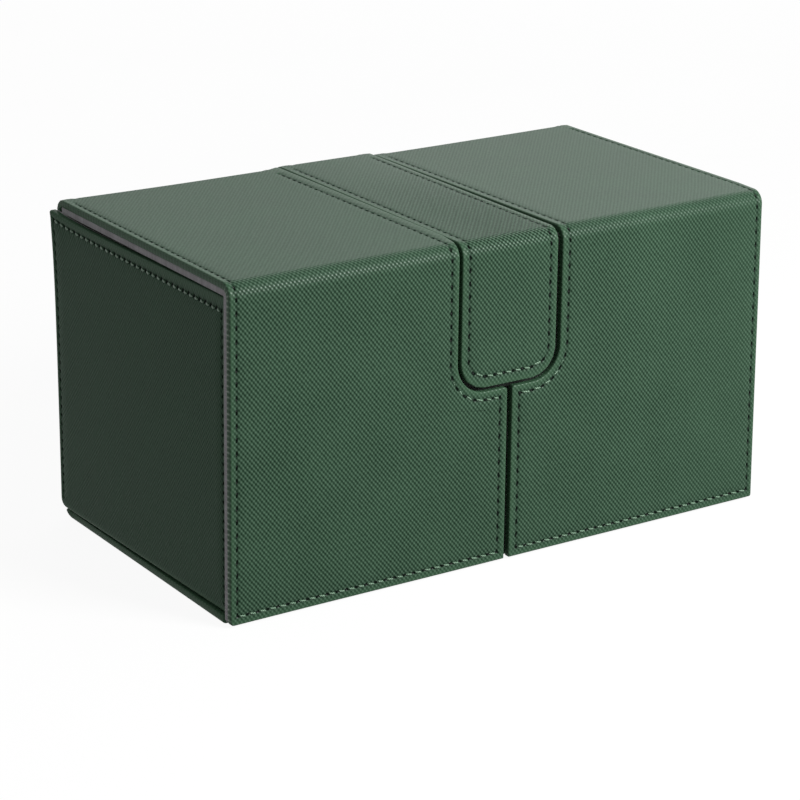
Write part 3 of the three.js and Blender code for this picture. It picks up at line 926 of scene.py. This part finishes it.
face = {
    "corner": 1.0, "footCorner": 3.0, "reach": 6.0, "margin": 2.0, "topMargin": 3.3, "rim": 0.7,
    "lowerRim": 0.3, "across": (0.4, 0.3), "back": {-1: 1.0, 1: 0.0}, "lean": 0.4, "lift": {-1: 0.5, 1: 0.0},
    "tip": {-1: 1.0, 1: 0.0}, "tipPowers": (12, 8), "tipRise": 2.0, "askew": {-1: 1.3, 1: 0.0},
    "askewWidth": 1.6, "askewDepth": -1.0, "footLift": (0.2, 1.0), "footPower": 8,
}
faceFelt = {"rim": 0.15, "lowerRim": 0.3, "reach": 3.0, "start": 0.25, "corner": 1.0, "steps": (20, 20)}


# The face of a drawer, drawn as it is seen from outside.
def makeFace(side, name):
    low, high = cadBox(f"{name}_drawer_face")
    outer = np.abs([low[0], high[0]]).max()
    thickness = high[0] - low[0]

    # Its upper back corner stands off: the lean grows as the squares of the shares of the way back and up,
    # the lift as a square and a cube, and the tip by high powers. A bell round the top row of stitches turns
    # it askew, and the foot is lifted by a high power of the share of the way down.
    def placeOnFace(points, heights):
        y, z = side * points[..., 0], -points[..., 1]
        back = np.clip((y - low[1]) / (high[1] - low[1]), 0, 1)
        up = np.clip((z - low[2]) / (high[2] - low[2]), 0, 1)
        tip = face["tip"][side] * back ** face["tipPowers"][0] * up ** face["tipPowers"][1]
        out = outer + heights + face["back"][side] * back + face["lean"] * back ** 2 * up ** 2 + tip
        row = bell((high[2] - z - face["topMargin"]) / face["askewWidth"])
        z = z + face["askew"][side] * (2 * back - 1) * row * (heights > face["askewDepth"])
        z = z + (face["footLift"][0] + face["footLift"][1] * back) * (1 - up) ** face["footPower"]
        z = z + face["lift"][side] * back ** 2 * up ** 3 + face["tipRise"] * tip
        return np.stack([side * out, y, z], -1)

    across = stitchCount(high[1] - low[1] - 2 * face["margin"], "face")
    up = stitchCount(high[2] - low[2] - face["margin"], "face")
    front, back = -low[1], -high[1]
    foot, head = -low[2], -high[2]
    outline = [
        makeStop(front, foot, face["corner"], sewnEdge(up), main=True),
        makeStop(front, head, face["corner"], sewnEdge(across, margin=face["topMargin"]), main=True),
        makeStop(back, head, face["corner"], sewnEdge(up), main=True),
        makeStop(back, foot, face["footCorner"], plainEdge(across * coarse), main=True),
    ]
    if side > 0:
        outline = mirrored(outline)
    profile = boardProfile(thickness, face, seamed=True)
    piece = makePanel(f"{name}_face_leather", outline, profile, placeOnFace, "greenLeather", face["margin"])
    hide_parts(f"{name}_drawer_face")
    # The face's stitches take the lighter thread, painted light for the shaded end face.
    stitching = makeStitches(
        f"{name}_face_stitching", outline, placeOnFace, face["margin"], "paleThread", face["across"])
    sheet = cadBox(f"{name}_drawer_face_lining")
    inner = rectangle(back, front, head, foot, faceFelt)
    inner[1]["radius"] = face["footCorner"]
    if side > 0:
        inner = mirrored(inner)
    sheetProfile = boardProfile(sheet[1][0] - sheet[0][0], faceFelt, level=-thickness)
    felt = makePanel(f"{name}_face_felt", inner, sheetProfile, placeOnFace, "greyFelt")
    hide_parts(f"{name}_drawer_face_lining")
    for made in (piece, stitching, felt):
        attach(made, f"{name}_drawer")


softBoard = {"rim": 0.45, "lowerRim": 0.45, "corner": 0.5, "reach": 1.0, "narrowShare": 0.45, "steps": (6, 6)}


# A board of the inside, rounded in outline and section. Its smallest measure is its thickness.
def makeBoard(node, body):
    low, high = cadBox(node)
    size = high - low
    axis = int(np.argmin(size))
    p, q = [k for k in range(3) if k != axis]
    reach = min(softBoard["reach"], softBoard["narrowShare"] * min(size[p], size[q]))

    def placeBoard(points, heights):
        made = np.empty((*heights.shape, 3))
        made[..., [p, q]] = points
        made[..., axis] = high[axis] + heights
        return made

    outline = rectangle(low[p], high[p], low[q], high[q], softBoard)
    profile = boardProfile(size[axis], {**softBoard, "reach": reach})
    piece = makePanel(f"{node}_wrapped", outline, profile, placeBoard, "darkWrap")
    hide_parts(node)
    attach(piece, body)


liner = {"sheet": 0.625, "fillet": 1.2, "corner": 1.6, "reach": 5.0, "steps": (12, 12)}


# An open-topped liner of a well or a drawer.
def makeLiner(node, body):
    low, high = cadBox(node)

    def placeLiner(points, heights):
        return np.stack([points[..., 0], -points[..., 1], low[2] + heights], -1)

    outline = rectangle(low[0], high[0], -high[1], -low[1], liner)
    profile = linerProfile(high[2] - low[2], liner["sheet"], liner["fillet"], liner["reach"])
    piece = makePanel(f"{node}_felt", outline, profile, placeLiner, "greyFelt")
    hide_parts(node)
    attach(piece, body)


def makeInside():
    for node in ("front_wall", "back_wall", "centre_divider", "left_shelf", "right_shelf",
                 "left_end_wall", "right_end_wall"):
        makeBoard(node, "case")
    for side, name in sides:
        makeLiner(f"{name}_well_lining", "case")
        makeFace(side, name)
        for part in ("floor", "front_wall", "back_wall", "inner_wall", "outer_wall"):
            makeBoard(f"{name}_drawer_{part}", f"{name}_drawer")
        makeLiner(f"{name}_drawer_lining", f"{name}_drawer")
    print("inside and drawers made")


def dressMetal():
    for node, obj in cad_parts.items():
        finish = "nickel" if "magnet" in node else "steel" if "catch" in node else None
        if finish:
            obj.data.materials.clear()
            obj.data.materials.append(bpy.data.materials[finish])


studio = {
    "lens": 125.39, "position": (-475.66, -688.52, 325.62), "azimuth": -34.42,
    "elevation": 19.05, "roll": 0.78, "floorHalf": 3000.0, "speckle": 40.0, "floorGlow": 0.93,
    "floorTones": (linear(114, 114, 114), linear(124, 124, 124)), "floorShare": 0.5, "ambient": 0.245,
}
white, black = (1, 1, 1, 1), (0, 0, 0, 1)
# Name: place, what it points at, side lengths and strength
lamps = {
    "frontSoftbox": ((252, -582, 428), (0, -50, 50), (300, 300), 5.75),
    "backSoftbox": ((900, 1100, 800), (0, 0, 90), (1200, 500), 5.2),
}


def makeCamera():
    az, el, roll = (math.radians(studio[key]) for key in ("azimuth", "elevation", "roll"))
    back = np.array([math.sin(az) * math.cos(el), -math.cos(az) * math.cos(el), math.sin(el)])
    right = np.array([math.cos(az), math.sin(az), 0])
    up = np.cross(back, right)
    c, d = math.cos(roll), math.sin(roll)
    turned = [c * right + d * up, c * up - d * right, back]
    matrix = np.eye(4)
    matrix[:3, :3] = np.array(turned).T
    matrix[:3, 3] = np.array(studio["position"]) * metre
    data = bpy.data.cameras.new("photoCamera")
    data.lens = studio["lens"]
    camera = addObject("photoCamera", data)
    camera.matrix_world = Matrix(matrix.tolist())
    bpy.context.scene.camera = camera


def makeLamps():
    for name, (place, target, size, watts) in lamps.items():
        data = bpy.data.lights.new(name, "AREA")
        data.shape, data.energy = "RECTANGLE", watts
        data.size, data.size_y = size[0] * metre, size[1] * metre
        lamp = addObject(name, data)
        lamp.location = (np.array(place) * metre).tolist()
        lamp.rotation_euler = (Vector(place) - Vector(target)).to_track_quat("Z", "Y").to_euler()


# 1 for a ray that shows the backdrop itself, from the camera or mirrored or through glass
def seenDirectly():
    path = addNode("LightPath").outputs
    indirect = larger(path["Is Glossy Ray"], path["Is Transmission Ray"])
    return larger(path["Is Camera Ray"], indirect)


def emptyTree(owner):
    owner.use_nodes = True
    owner.node_tree.nodes.clear()
    drawn["tree"] = owner.node_tree


def makeFloor():
    corners = np.array([[-1, -1, 0], [1, -1, 0], [1, 1, 0], [-1, 1, 0]]) * studio["floorHalf"] * metre
    material = bpy.data.materials.new("paleFloor")
    emptyTree(material)
    speckle = addNode("TexNoise", {"Scale": studio["speckle"]})
    shade = mixColour(speckle.outputs[0], *studio["floorTones"])
    seen = seenDirectly()
    faint = mixColour(studio["floorShare"], black, shade)
    diffuse = addNode("BsdfDiffuse", {"Color": mixColour(seen, shade, faint)})
    strength = times(seen, studio["floorGlow"])
    glow = addNode("Emission", {"Color": white, "Strength": strength})
    mixed = addNode("AddShader", {0: diffuse.outputs[0], 1: glow.outputs[0]})
    addNode("OutputMaterial", {"Surface": mixed.outputs[0]})
    mesh = bpy.data.meshes.new("floor")
    mesh.from_pydata(corners.tolist(), [], [(0, 1, 2, 3)])
    mesh.materials.append(material)
    floor = addObject("floor", mesh)


def makeWorld():
    world = bpy.data.worlds.new("whiteStudio")
    bpy.context.scene.world = world
    emptyTree(world)
    strength = mixValue(seenDirectly(), studio["ambient"], 1.0)
    light = addNode("Background", {"Color": white, "Strength": strength})
    addNode("OutputWorld", {"Surface": light.outputs[0]})


makeCamera()
makeLamps()
makeFloor()
makeWorld()
print("studio ready")
makeCovers()
makeWrap()
makeInside()
dressMetal()
bpy.context.scene.view_settings.view_transform = "Standard"
print("scene ready")
